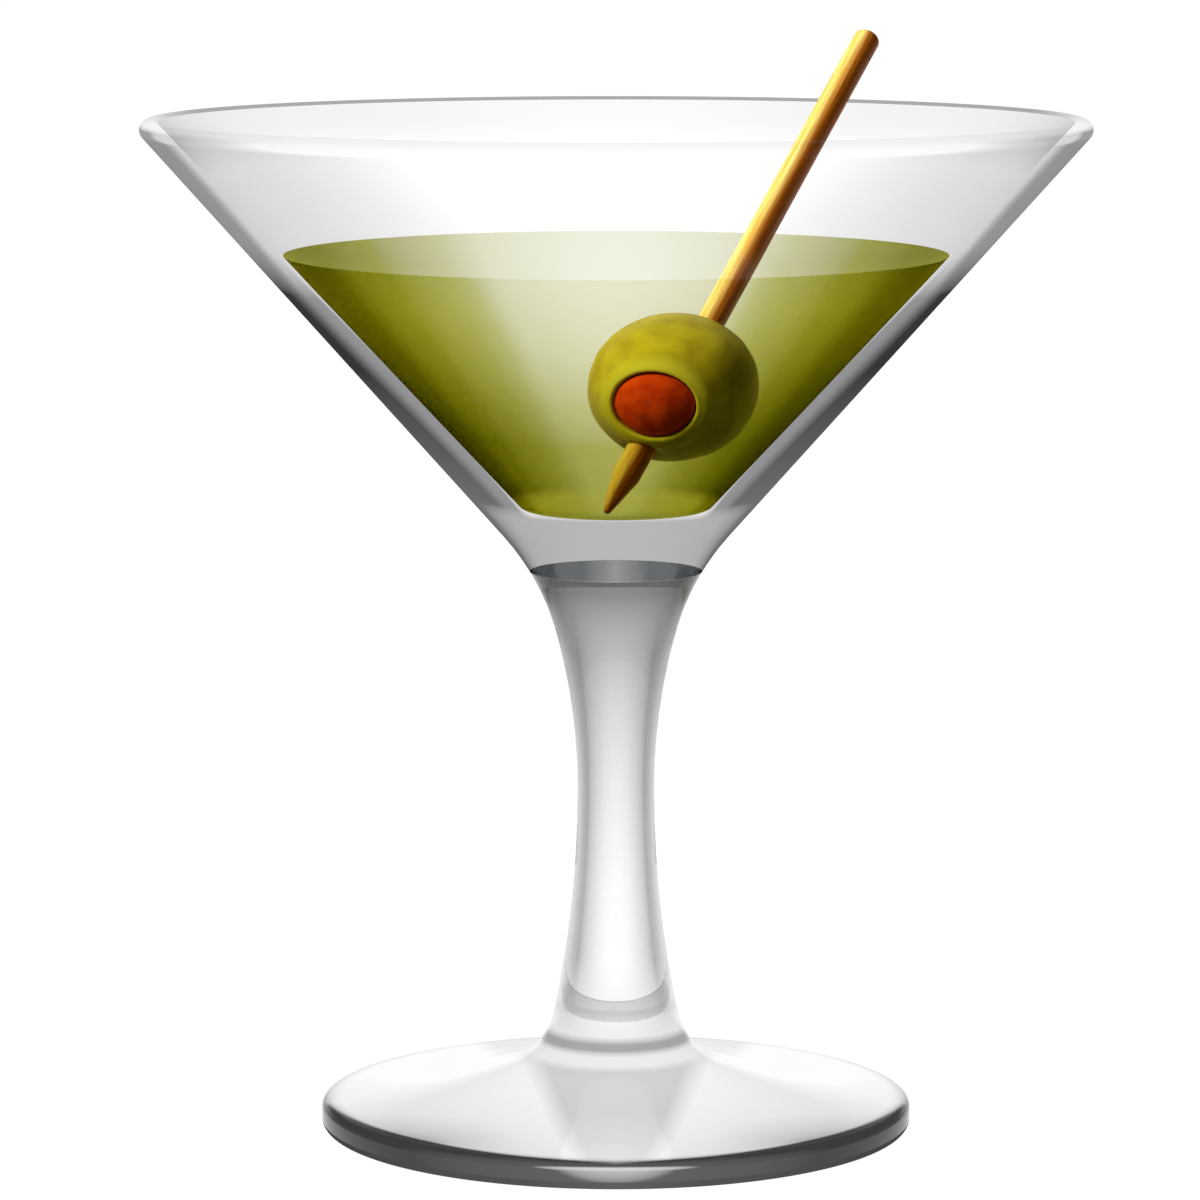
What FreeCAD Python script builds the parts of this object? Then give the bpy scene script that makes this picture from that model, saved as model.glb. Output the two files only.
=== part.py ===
"""A cocktail glass with its drink and a stuffed olive on a wooden pick, in millimetres.

The glass stands on z = 0 with its axis on Z, and the viewer's side is -Y.  The glass is one
turned solid: a foot with a dished top, an hourglass stem and a conical bowl with a flat
floor.  The drink fills the bowl up to its level and is cut round everything that lies in it.
The pick stands on the bowl's floor, leans on the rim at the back and skewers the olive, whose
pimento runs through it from end to end.
"""
import FreeCAD, Part
import math
import os
import Sketcher

SIZES = [
    ("rim_radius", 58.8, "outermost radius of the bowl, at the rim"),
    ("bowl_depth", 48.7, "from the bowl's flat floor up to the top of the rim"),
    ("rim_round", 1.3, "radius of the rounded rim, half its wall"),
    ("floor_radius", 11.5, "sharp corner between floor and cone inside"),
    ("floor_round", 1.8, "fillet in that corner"),
    ("floor_wall", 5.5, "wall of the cone at floor level, measured level"),
    ("shoulder_drop", 3.1, "from floor level down to where the cone's outside starts to curve in"),
    ("neck_height", 35.3, "from the thinnest place of the stem up to the bowl's floor"),
    ("upper_stem_bend", 74.0, "radius of the stem's outline above the waist"),
    ("waist_radius", 4.8, "stem at its thinnest"),
    ("waist_height", 42.8, "height of the thinnest place above the table"),
    ("lower_stem_bend", 135.0, "radius of the stem's outline below the waist"),
    ("flare_radius", 13.1, "distance from the axis where the flare meets the foot's top"),
    ("flare_height", 8.0, "height of that place"),
    ("dish_bend", 68.0, "radius of the foot's dished top in section"),
    ("foot_radius", 37.1, "outermost radius of the foot"),
    ("foot_edge", 3.5, "thickness of the foot at its edge, before rounding"),
    ("foot_round", 1.1, "rounding of the foot's two edges"),
    ("drink_below_rim", 17.4, "from the top of the rim down to the level of the drink"),
    ("pick_radius", 1.75, "half the thickness of the pick"),
    ("pick_length", 91.0, "pick from tip to end"),
    ("point_length", 6.5, "tapered point of the pick"),
    ("point_radius", 0.4, "blunt end of the point"),
    ("pick_end_round", 0.45, "softened edge at the upper end of the pick"),
    ("pick_turn", 29.0, "degrees from +Y to +X that the pick leans towards"),
    ("pick_aside", 3.0, "how far the pick's upright plane passes to the right of the axis"),
    ("tip_before", 8.0, "how far the tip stands towards the viewer in that plane"),
    ("tip_gap", 0.2, "clearance between the blunt tip, however tilted, and the floor"),
    ("rim_gap", 0.25, "clearance between the pick and the rim that it leans on"),
    ("olive_half_length", 11.9, "olive from its middle to its end"),
    ("olive_half_width", 10.7, "half of the olive's level thickness"),
    ("olive_half_height", 9.2, "half of the olive's upright thickness"),
    ("olive_up_pick", 21.8, "olive's middle from the tip, along the pick"),
    ("olive_off_pick", 1.0, "how far the olive's middle is off the pick, to the front"),
    ("olive_turn", 14.5, "degrees that the stuffed end turns left of the viewer"),
    ("olive_dip", 7.0, "degrees that the stuffed end points down"),
    ("stuffing_half_width", 5.2, "half width of the pimento at the stuffed end"),
    ("stuffing_half_height", 4.0, "half height of the pimento there"),
    ("stuffing_back_width", 2.4, "half width of the pimento at the other end"),
    ("stuffing_back_height", 1.9, "half height of the pimento there"),
]

FLOOR = "(Sizes.waist_height + Sizes.neck_height)"
RIM = f"({FLOOR} + Sizes.bowl_depth)"
FILL_DEPTH = "(Sizes.bowl_depth - Sizes.drink_below_rim)"

START = 1
FINISH = 2
MIDDLE = 3
AXIS_GEOMETRY = -1


def make_sheet(doc):
    """Write the sizes to a spreadsheet, one alias a row."""
    sheet = doc.addObject("Spreadsheet::Sheet", "Sizes")
    for row, (alias, value, note) in enumerate(SIZES, 1):
        sheet.set(f"A{row}", alias)
        sheet.set(f"B{row}", str(value))
        sheet.setAlias(f"B{row}", alias)
        sheet.set(f"C{row}", note)
    doc.recompute()
    return sheet


def floor_level(size):
    """Height of the bowl's floor above the table."""
    return size.waist_height + size.neck_height


def rim_middle(size):
    """Centre of the rim's rounding in the half section."""
    top = floor_level(size) + size.bowl_depth
    return point(size.rim_radius - size.rim_round, top - size.rim_round)


def point(across, up):
    """A point of an outline: across from the axis and up."""
    return FreeCAD.Vector(across, up, 0)


def angle_of(vector):
    """Direction of a vector in the outline's plane, in radians."""
    return math.atan2(vector.y, vector.x)


def direction(angle):
    """Unit vector of an outline's plane at an angle in radians."""
    return point(math.cos(angle), math.sin(angle))


def arc_between(centre, first, last, hollow=False):
    """Arc round a centre; a hollow one is walked clockwise, so its ends change places."""
    ends = (last, first) if hollow else (first, last)
    start, stop = (angle_of(end - centre) for end in ends)
    if stop < start:
        stop += 2 * math.pi
    circle = Part.Circle(centre, FreeCAD.Vector(0, 0, 1), (first - centre).Length)
    return Part.ArcOfCircle(circle, start, stop)


def arc_into(base, normal, wide_centre, wide_radius):
    """Centre and radius of the arc that leaves base square to its normal and runs smoothly
    into the wide arc from the inside: its centre is on the normal, and the two centres are as
    far apart as the two radii differ."""
    offset = base - wide_centre
    radius = (wide_radius ** 2 - offset.dot(offset)) / (2 * (normal.dot(offset) + wide_radius))
    return base + normal * radius, radius


def touch_on(centre, radius, other):
    """Point of a circle in line with another centre, on the far side from it."""
    return centre + (centre - other).normalize() * radius


def tangent_from(base, centre, radius, side):
    """Point where a line from base touches a circle, with the circle to its left (side 1) or
    right (side -1)."""
    offset = centre - base
    swing = math.asin(radius / offset.Length)
    reach = math.sqrt(offset.Length ** 2 - radius ** 2)
    return base + direction(angle_of(offset) - side * swing) * reach


def glass_outline(size):
    """Half section of the glass, walked from the middle of the underside, up the outside,
    over the rim and down the inside to the axis.  Each element is paired with whether it is
    a hollow arc."""
    corner = size.foot_round
    edge_top = point(size.foot_radius, size.foot_edge)
    flare = point(size.flare_radius, size.flare_height)
    waist = point(size.waist_radius, size.waist_height)
    floor_corner = point(size.floor_radius, floor_level(size))
    outer_foot = floor_corner + point(size.floor_wall, 0)
    rim_centre = rim_middle(size)

    chord = flare - edge_top
    rise = math.sqrt(size.dish_bend ** 2 - chord.Length ** 2 / 4)
    upward = point(chord.y, -chord.x).normalize()
    dish_centre = (edge_top + flare) * 0.5 + upward * rise
    reach = size.dish_bend + corner
    corner_across = size.foot_radius - corner
    drop = math.sqrt(reach ** 2 - (corner_across - dish_centre.x) ** 2)
    corner_centre = point(corner_across, dish_centre.y - drop)
    corner_touch = corner_centre + (dish_centre - corner_centre).normalize() * corner
    lower_centre = point(size.waist_radius + size.lower_stem_bend, size.waist_height)
    to_dish = (dish_centre - flare).normalize()
    flare_centre, flare_bend = arc_into(flare, to_dish, lower_centre, size.lower_stem_bend)
    flare_touch = touch_on(flare_centre, flare_bend, lower_centre)

    rim_outside = tangent_from(outer_foot, rim_centre, size.rim_round, 1)
    rim_inside = tangent_from(floor_corner, rim_centre, size.rim_round, -1)
    cone = (rim_outside - outer_foot).normalize()
    outward = point(cone.y, -cone.x)
    shoulder = outer_foot - cone * (size.shoulder_drop / cone.y)
    upper_centre = point(size.waist_radius + size.upper_stem_bend, size.waist_height)
    bend_centre, bend = arc_into(shoulder, outward, upper_centre, size.upper_stem_bend)
    bend_touch = touch_on(bend_centre, bend, upper_centre)

    inner = (rim_inside - floor_corner).normalize()
    half_turn = (math.pi - angle_of(inner)) / 2
    setback = size.floor_round / math.tan(half_turn)
    fillet_centre = floor_corner + point(-setback, size.floor_round)

    underside = point(size.foot_radius - corner, 0)
    low_touch = point(size.foot_radius, corner)
    high_touch = point(size.foot_radius, corner_centre.y)
    cone_end = floor_corner + inner * setback
    floor_end = floor_corner - point(setback, 0)
    line = Part.LineSegment
    return [
        (line(point(0, 0), underside), False),
        (arc_between(underside + point(0, corner), underside, low_touch), False),
        (line(low_touch, high_touch), False),
        (arc_between(corner_centre, high_touch, corner_touch), False),
        (arc_between(dish_centre, corner_touch, flare, hollow=True), True),
        (arc_between(flare_centre, flare, flare_touch, hollow=True), True),
        (arc_between(lower_centre, flare_touch, waist, hollow=True), True),
        (arc_between(upper_centre, waist, bend_touch, hollow=True), True),
        (arc_between(bend_centre, bend_touch, shoulder, hollow=True), True),
        (line(shoulder, rim_outside), False),
        (arc_between(rim_centre, rim_outside, rim_inside), False),
        (line(rim_inside, cone_end), False),
        (arc_between(fillet_centre, cone_end, floor_end, hollow=True), True),
        (line(floor_end, point(0, floor_corner.y)), False),
        (line(point(0, floor_corner.y), point(0, 0)), False),
    ]


def new_sketch(body, name):
    """Sketch on the body's own upright plane, whose Y is the body's Z."""
    sketch = body.newObject("Sketcher::SketchObject", name)
    plane = next(item for item in body.Origin.OriginFeatures if item.Role == "XZ_Plane")
    sketch.AttachmentSupport = [(plane, "")]
    sketch.MapMode = "FlatFace"
    return sketch


def tie(sketch, name, expression, *parts):
    """Add one dimension to a sketch and bind it to the sheet."""
    index = sketch.addConstraint(Sketcher.Constraint(*parts))
    sketch.renameConstraint(index, name)
    sketch.setExpression("Constraints." + name, expression)


def tie_point(sketch, name, geometry, end, across=None, up=None):
    """Bind a point's distance across from the axis and up from the origin."""
    where = sketch.getPoint(geometry, end)
    if across:
        parts = ("DistanceX", AXIS_GEOMETRY, START, geometry, end, where.x)
        tie(sketch, name + "_across", across, *parts)
    if up:
        parts = ("DistanceY", AXIS_GEOMETRY, START, geometry, end, where.y)
        tie(sketch, name + "_up", up, *parts)


def helper_point(sketch, where, elements):
    """Construction point that lies on the given elements, or on their run-out."""
    index = sketch.addGeometry(Part.Point(where), True)
    for element in elements:
        sketch.addConstraint(Sketcher.Constraint("PointOnObject", index, START, element))
    return index


def revolve(body, sketch):
    """Turn the sketch a full circle about its own upright axis."""
    turned = body.newObject("PartDesign::Revolution", body.Name + "Turned")
    turned.Profile = sketch
    turned.ReferenceAxis = (sketch, ["V_Axis"])
    turned.Angle = 360


def make_glass(doc, size):
    """Foot, stem and bowl as one turned solid."""
    body = doc.addObject("PartDesign::Body", "Glass")
    body.Label = "glass"
    sketch = new_sketch(body, "GlassOutline")
    outline = glass_outline(size)
    for element, hollow in outline:
        sketch.addGeometry(element, False)
    (underside, low_corner, edge, high_corner, dish, flare, lower_stem, upper_stem, shoulder,
     cone, rim, inner_cone, fillet, floor, axis) = range(len(outline))
    for index in range(floor):
        leave = START if outline[index][1] else FINISH
        enter = FINISH if outline[index + 1][1] else START
        parts = ("Tangent", index, leave, index + 1, enter)
        sketch.addConstraint(Sketcher.Constraint(*parts))
    sketch.addConstraint(Sketcher.Constraint("Coincident", floor, FINISH, axis, START))
    sketch.addConstraint(Sketcher.Constraint("Coincident", axis, FINISH, underside, START))
    sketch.addConstraint(
        Sketcher.Constraint("Coincident", underside, START, AXIS_GEOMETRY, START))
    sketch.addConstraint(Sketcher.Constraint("Horizontal", underside))
    sketch.addConstraint(Sketcher.Constraint("Vertical", edge))
    sketch.addConstraint(Sketcher.Constraint("Horizontal", floor))
    sketch.addConstraint(Sketcher.Constraint("Vertical", axis))

    edge_top = helper_point(sketch, point(size.foot_radius, size.foot_edge), [edge, dish])
    corner_at = point(size.floor_radius, floor_level(size))
    floor_corner = helper_point(sketch, corner_at, [inner_cone, floor])
    outer_at = corner_at + point(size.floor_wall, 0)
    outer_foot = helper_point(sketch, outer_at, [cone, floor])

    tie(sketch, "low_corner_radius", "Sizes.foot_round", "Radius", low_corner, size.foot_round)
    tie(sketch, "high_corner_radius", "Sizes.foot_round", "Radius", high_corner, size.foot_round)
    tie_point(sketch, "edge_top", edge_top, START, "Sizes.foot_radius", "Sizes.foot_edge")
    tie(sketch, "dish_radius", "Sizes.dish_bend", "Radius", dish, size.dish_bend)
    tie_point(sketch, "flare", dish, START, "Sizes.flare_radius", "Sizes.flare_height")
    tie(sketch, "lower_stem_radius", "Sizes.lower_stem_bend", "Radius", lower_stem,
        size.lower_stem_bend)
    tie_point(sketch, "waist", lower_stem, START, "Sizes.waist_radius", "Sizes.waist_height")
    tie_point(sketch, "waist_centre", lower_stem, MIDDLE, up="Sizes.waist_height")
    tie(sketch, "upper_stem_radius", "Sizes.upper_stem_bend", "Radius", upper_stem,
        size.upper_stem_bend)
    tie_point(sketch, "shoulder", cone, START, up=FLOOR + " - Sizes.shoulder_drop")
    tie(sketch, "rim_round", "Sizes.rim_round", "Radius", rim, size.rim_round)
    tie_point(sketch, "rim", rim, MIDDLE, "Sizes.rim_radius - Sizes.rim_round",
              RIM + " - Sizes.rim_round")
    tie_point(sketch, "floor_corner", floor_corner, START, "Sizes.floor_radius", FLOOR)
    tie_point(sketch, "outer_foot", outer_foot, START, "Sizes.floor_radius + Sizes.floor_wall")
    tie(sketch, "floor_round", "Sizes.floor_round", "Radius", fillet, size.floor_round)
    revolve(body, sketch)
    return body


def pick_placement(size):
    """Stand the pick in its upright plane, with its tip on the floor and its side on the rim.

    In that plane the rim is a small circle, and the pick's axis passes above it at the sum of
    the two radii and the gap."""
    turn = math.radians(size.pick_turn)
    ahead = FreeCAD.Vector(math.sin(turn), math.cos(turn), 0)
    right = FreeCAD.Vector(math.cos(turn), -math.sin(turn), 0)
    rim = rim_middle(size)
    rim_ahead = math.sqrt(rim.x ** 2 - size.pick_aside ** 2)
    tip_up = floor_level(size) + size.tip_gap + size.point_radius
    level = rim_ahead + size.tip_before
    climb = rim.y - tip_up
    apart = size.pick_radius + size.rim_round + size.rim_gap
    slope = math.atan2(climb, level) + math.asin(apart / math.hypot(climb, level))
    along = ahead * math.cos(slope) + FreeCAD.Vector(0, 0, math.sin(slope))
    tip = right * size.pick_aside - ahead * size.tip_before + FreeCAD.Vector(0, 0, tip_up)
    return FreeCAD.Placement(tip, FreeCAD.Rotation(FreeCAD.Vector(0, 0, 1), along))


def make_pick(doc, size):
    """Round wooden pick, tapered to a blunt point, with a softened upper edge."""
    body = doc.addObject("PartDesign::Body", "Pick")
    body.Label = "pick"
    sketch = new_sketch(body, "PickOutline")
    blunt = point(size.point_radius, 0)
    neck = point(size.pick_radius, size.point_length)
    side_end = point(size.pick_radius, size.pick_length - size.pick_end_round)
    top_start = point(size.pick_radius - size.pick_end_round, size.pick_length)
    round_centre = point(top_start.x, side_end.y)
    top = point(0, size.pick_length)
    bottom = point(0, 0)
    sketch.addGeometry([
        Part.LineSegment(bottom, blunt),
        Part.LineSegment(blunt, neck),
        Part.LineSegment(neck, side_end),
        arc_between(round_centre, side_end, top_start),
        Part.LineSegment(top_start, top),
        Part.LineSegment(top, bottom),
    ], False)
    tip, taper, side, edge, end, axis = range(6)
    for first, second in ((tip, taper), (taper, side), (end, axis), (axis, tip)):
        sketch.addConstraint(Sketcher.Constraint("Coincident", first, FINISH, second, START))
    sketch.addConstraint(Sketcher.Constraint("Tangent", side, FINISH, edge, START))
    sketch.addConstraint(Sketcher.Constraint("Tangent", edge, FINISH, end, START))
    sketch.addConstraint(Sketcher.Constraint("Coincident", tip, START, AXIS_GEOMETRY, START))
    sketch.addConstraint(Sketcher.Constraint("Horizontal", tip))
    sketch.addConstraint(Sketcher.Constraint("Vertical", side))
    sketch.addConstraint(Sketcher.Constraint("Horizontal", end))
    sketch.addConstraint(Sketcher.Constraint("Vertical", axis))
    tie_point(sketch, "blunt", tip, FINISH, across="Sizes.point_radius")
    tie_point(sketch, "neck", taper, FINISH, "Sizes.pick_radius", "Sizes.point_length")
    tie_point(sketch, "top", end, FINISH, up="Sizes.pick_length")
    tie(sketch, "end_round", "Sizes.pick_end_round", "Radius", edge, size.pick_end_round)
    revolve(body, sketch)
    body.Placement = pick_placement(size)
    return body


def olive_placement(size):
    """Olive's own frame: Z out of the stuffed end, X level and Y upright.

    Its middle is up the pick from the tip, and off the pick's axis towards the stuffed end,
    at right angles to the pick, so that the pick comes out clear of the pimento."""
    turn = math.radians(size.olive_turn)
    dip = math.radians(size.olive_dip)
    forward = FreeCAD.Vector(-math.sin(turn) * math.cos(dip), -math.cos(turn) * math.cos(dip),
                             -math.sin(dip))
    level = FreeCAD.Vector(math.cos(turn), -math.sin(turn), 0)
    upright = forward.cross(level)
    stand = pick_placement(size)
    along = stand.Rotation.multVec(FreeCAD.Vector(0, 0, 1))
    off = (forward - along * forward.dot(along)).normalize()
    middle = stand.Base + along * size.olive_up_pick + off * size.olive_off_pick
    return FreeCAD.Placement(middle, FreeCAD.Rotation(level, upright, forward, "ZXY"))


def make_flesh(doc, size):
    """Whole olive as an ellipsoid with three different half axes."""
    flesh = doc.addObject("Part::Ellipsoid", "OliveForm")
    flesh.setExpression("Radius1", "Sizes.olive_half_length")
    flesh.setExpression("Radius2", "Sizes.olive_half_width")
    flesh.setExpression("Radius3", "Sizes.olive_half_height")
    flesh.Placement = olive_placement(size)
    return flesh


def make_pit_core(doc, size):
    """Tapered oval core through the whole olive: the space of the stone, which the pimento
    fills.  It is a loft between two ovals just outside the olive's ends."""
    ends = [
        ("CoreBack", -1, "Sizes.stuffing_back_width", "Sizes.stuffing_back_height"),
        ("CoreFront", 1, "Sizes.stuffing_half_width", "Sizes.stuffing_half_height"),
    ]
    ovals = []
    for name, side, half_width, half_height in ends:
        oval = doc.addObject("Part::Ellipse", name)
        oval.setExpression("MajorRadius", half_width)
        oval.setExpression("MinorRadius", half_height)
        shift = FreeCAD.Vector(0, 0, side * (size.olive_half_length + size.olive_off_pick))
        oval.Placement = olive_placement(size).multiply(
            FreeCAD.Placement(shift, FreeCAD.Rotation()))
        ovals.append(oval)
    core = doc.addObject("Part::Loft", "PitCore")
    core.Sections = ovals
    core.Solid = True
    core.Ruled = True
    return core


def combine(doc, kind, name, base, tool):
    """Boolean of two objects, such as Part::Cut."""
    result = doc.addObject(kind, name)
    result.Base = base
    result.Tool = tool
    return result


def make_olive(doc, flesh, core, pick):
    """Flesh with the core and the pick's hole taken out."""
    pitted = combine(doc, "Part::Cut", "PittedOlive", flesh, core)
    olive = combine(doc, "Part::Cut", "Olive", pitted, pick)
    olive.Label = "olive"
    return olive


def make_pimento(doc, flesh, core, pick):
    """Core inside the flesh, flush at both ends, with the pick's hole taken out."""
    stuffing = combine(doc, "Part::Common", "Stuffing", core, flesh)
    pimento = combine(doc, "Part::Cut", "Pimento", stuffing, pick)
    pimento.Label = "pimento"
    return pimento


def make_drink(doc, glass, flesh, pick):
    """Drink up to its level: a cone that ends in the middle of the wall all round and under
    the floor, less the glass, the olive and the pick."""
    fill = doc.addObject("Part::Cone", "BowlFill")
    low = "(Sizes.floor_radius + Sizes.floor_wall / 2)"
    sink = "Sizes.floor_round"
    slope = (f"(Sizes.rim_radius - Sizes.rim_round - {low})"
             " / (Sizes.bowl_depth - Sizes.rim_round)")
    fill.setExpression("Radius1", f"{low} - {sink} * {slope}")
    fill.setExpression("Radius2", f"{low} + {FILL_DEPTH} * {slope}")
    fill.setExpression("Height", f"{FILL_DEPTH} + {sink}")
    fill.setExpression("Placement.Base.z", f"{FLOOR} - {sink}")
    in_bowl = combine(doc, "Part::Cut", "DrinkInBowl", fill, glass)
    round_olive = combine(doc, "Part::Cut", "DrinkRoundOlive", in_bowl, flesh)
    drink = combine(doc, "Part::Cut", "Drink", round_olive, pick)
    drink.Label = "drink"
    return drink


def check_document(doc, nodes):
    """Stop if any object failed, or a node isn't one sound solid."""
    for item in doc.Objects:
        if "Invalid" in item.State or "Error" in item.State:
            raise RuntimeError(f"{item.Name} failed: {item.State}")
    for item in doc.findObjects("Sketcher::SketchObject"):
        if item.solve() != 0:
            raise RuntimeError(f"{item.Name} has no solution")
    for node in nodes:
        shape = node.Shape
        if shape.isNull() or not shape.isValid() or len(shape.Solids) != 1:
            raise RuntimeError(f"{node.Label} is not one sound solid")


def main():
    doc = FreeCAD.newDocument("CocktailGlass")
    size = make_sheet(doc)
    glass = make_glass(doc, size)
    pick = make_pick(doc, size)
    flesh = make_flesh(doc, size)
    core = make_pit_core(doc, size)
    doc.recompute()
    nodes = [
        glass,
        make_drink(doc, glass, flesh, pick),
        make_olive(doc, flesh, core, pick),
        make_pimento(doc, flesh, core, pick),
        pick,
    ]
    doc.recompute()
    check_document(doc, nodes)
    os.makedirs("parts", exist_ok=True)
    for node in nodes:
        node.Shape.exportStep(f"parts/{node.Label}.step")
        box = node.Shape.optimalBoundingBox(False)
        print(f"{node.Label}: {node.Shape.Volume:.1f} mm3, x {box.XMin:.2f} {box.XMax:.2f},"
              f" y {box.YMin:.2f} {box.YMax:.2f}, z {box.ZMin:.2f} {box.ZMax:.2f}")


main()
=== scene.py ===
"""Looks of a cocktail in a stemmed conical glass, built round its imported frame, in metres.

The pieces are the bowl, the stem with its foot, the drink, the olive, its pimento and the
wooden pick.  Each one is a surface worked out with numpy from the frame's own solids.
"""
import math

import bpy
import numpy as np
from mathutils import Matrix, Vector


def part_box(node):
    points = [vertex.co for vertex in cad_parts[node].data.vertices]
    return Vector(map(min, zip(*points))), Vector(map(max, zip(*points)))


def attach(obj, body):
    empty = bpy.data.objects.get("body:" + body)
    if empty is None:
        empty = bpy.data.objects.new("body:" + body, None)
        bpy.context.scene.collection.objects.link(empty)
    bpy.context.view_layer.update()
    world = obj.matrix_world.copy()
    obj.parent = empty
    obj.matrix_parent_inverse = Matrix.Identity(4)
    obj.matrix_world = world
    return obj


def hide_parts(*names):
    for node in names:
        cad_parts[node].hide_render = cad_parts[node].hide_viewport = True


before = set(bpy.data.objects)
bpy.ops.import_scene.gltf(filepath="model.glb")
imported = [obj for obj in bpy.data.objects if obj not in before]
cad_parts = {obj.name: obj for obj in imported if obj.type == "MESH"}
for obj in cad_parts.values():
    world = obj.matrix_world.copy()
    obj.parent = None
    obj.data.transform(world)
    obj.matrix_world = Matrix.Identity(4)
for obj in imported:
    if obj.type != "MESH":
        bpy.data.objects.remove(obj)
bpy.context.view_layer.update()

bl_info = {
    "name": "Cocktail Glass",
    "version": (1, 0, 0),
    "blender": (4, 5, 0),
    "location": "3D View > Sidebar > Cocktail",
    "description": "Cocktail in a conical stemmed glass, with a stuffed olive on a wooden pick",
    "category": "Add Mesh",
}

MM = 0.001
UP = np.array([0.0, 1.0])
DOWN = np.array([0.0, -1.0])
WHITE = 1.0
UNBENT = 1.0  # index of refraction of clear parts that tint light and leave it straight
UNDERSIDE, JOINT, FOOT_EDGE = 1, 2, 3  # material slots of the stem, after its glass


# What the frame says ----

def node_arrays(node):
    """Distinct corners of a node's mesh, their normals, and its edges as pairs of corners."""
    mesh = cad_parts[node].data
    corners = np.empty(len(mesh.vertices) * 3)
    mesh.vertices.foreach_get("co", corners)
    loop_normals = np.empty(len(mesh.loops) * 3)
    mesh.corner_normals.foreach_get("vector", loop_normals)
    loop_vertex = np.empty(len(mesh.loops), dtype=np.int64)
    mesh.loops.foreach_get("vertex_index", loop_vertex)
    edges = np.empty(len(mesh.edges) * 2, dtype=np.int64)
    mesh.edges.foreach_get("vertices", edges)
    corners = corners.reshape(-1, 3)
    grid = np.round(corners * 1e7).astype(np.int64)
    _, first, back = np.unique(grid, axis=0, return_index=True, return_inverse=True)
    back = back.reshape(-1)
    normals = np.zeros((len(first), 3))
    np.add.at(normals, back[loop_vertex], loop_normals.reshape(-1, 3))
    normals /= np.linalg.norm(normals, axis=1, keepdims=True)
    return corners[first], normals, back[edges.reshape(-1, 2)]


def half_section(node):
    """Outline of a turned solid in the half plane y = 0, x > 0, as rows of radius and height,
    from its underside round to its inside, with the outward normals there.  The solid's seam
    lies in that half plane, so the outline is walked along the seam's edges."""
    points, normals, edges = node_arrays(node)
    on_seam = (np.abs(points[:, 1]) < 1e-7) & (points[:, 0] > 1e-6)
    neighbours = {}
    for one, other in edges[on_seam[edges].all(axis=1)]:
        if one != other:
            neighbours.setdefault(one, set()).add(other)
            neighbours.setdefault(other, set()).add(one)
    ends = [corner for corner, beside in neighbours.items() if len(beside) == 1]
    if len(ends) != 2:
        raise RuntimeError(f"the seam of {node} is not one open line")
    walk = [min(ends, key=lambda corner: points[corner, 2])]
    ahead = set(neighbours[walk[0]])
    while ahead:
        walk.append(ahead.pop())
        ahead = neighbours[walk[-1]] - set(walk)
    return points[walk][:, [0, 2]], normals[walk][:, [0, 2]]


def refined(outline, normals, turn=math.radians(3)):
    """Finer outline through the same points, with its normals.  Each stretch is the cubic
    that leaves and reaches its end points square to their normals, cut into equal steps so
    that none turns by more than `turn`."""
    tangents = np.stack([-normals[:, 1], normals[:, 0]], axis=1)
    fine, fine_tangents = [outline[:1]], [tangents[:1]]
    for a, b, ta, tb in zip(outline[:-1], outline[1:], tangents[:-1], tangents[1:]):
        length = np.linalg.norm(b - a)
        bend = math.acos(min(1.0, max(-1.0, float(ta @ tb))))
        t = np.linspace(0, 1, 1 + max(1, math.ceil(bend / turn)))[1:, None]
        fine.append((2 * t**3 - 3 * t**2 + 1) * a + (t**3 - 2 * t**2 + t) * length * ta
                    + (3 * t**2 - 2 * t**3) * b + (t**3 - t**2) * length * tb)
        slope = ((6 * t**2 - 6 * t) * (a - b) / length + (3 * t**2 - 4 * t + 1) * ta
                 + (3 * t**2 - 2 * t) * tb)
        fine_tangents.append(slope / np.linalg.norm(slope, axis=1, keepdims=True))
    outline, tangents = np.concatenate(fine), np.concatenate(fine_tangents)
    return outline, np.stack([tangents[:, 1], -tangents[:, 0]], axis=1)


def pick_axis():
    """Tip of the pick, its direction from the tip, and its length: the tip is the middle of
    the lowest corners, the end the middle of the highest ones, and the direction is the long
    axis of all of them."""
    points = node_arrays("pick")[0]
    middle = points.mean(axis=0)
    along = np.linalg.svd(points - middle, full_matrices=False)[2][0]
    along = along * np.sign(along[2])
    reach = (points - middle) @ along
    ring = points - np.outer(reach, along)
    axis_point = (ring.min(axis=0) + ring.max(axis=0)) / 2
    return axis_point + along * reach.min(), along, float(np.ptp(reach))


# Meshes ----

def new_piece(name, points, faces, materials, normals=None, face_slots=None):
    """Smooth mesh object from arrays of points and lists of faces, standing at the origin."""
    mesh = bpy.data.meshes.new(name)
    mesh.from_pydata(points.tolist(), [], faces)
    mesh.polygons.foreach_set("use_smooth", np.ones(len(mesh.polygons), dtype=bool))
    for material in materials:
        mesh.materials.append(material)
    if face_slots is not None:
        mesh.polygons.foreach_set("material_index", face_slots)
    mesh.update()
    if normals is not None:
        mesh.normals_split_custom_set_from_vertices(normals.tolist())
    piece = bpy.data.objects.new(name, mesh)
    bpy.context.scene.collection.objects.link(piece)
    return piece


def add_values(piece, name, values):
    """Store one number, or one vector, for each point of a piece as a named attribute."""
    kind = "FLOAT" if values.ndim == 1 else "FLOAT_VECTOR"
    field = "value" if values.ndim == 1 else "vector"
    attribute = piece.data.attributes.new(name, kind, "POINT")
    attribute.data.foreach_set(field, values.astype(np.float32).ravel())


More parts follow.
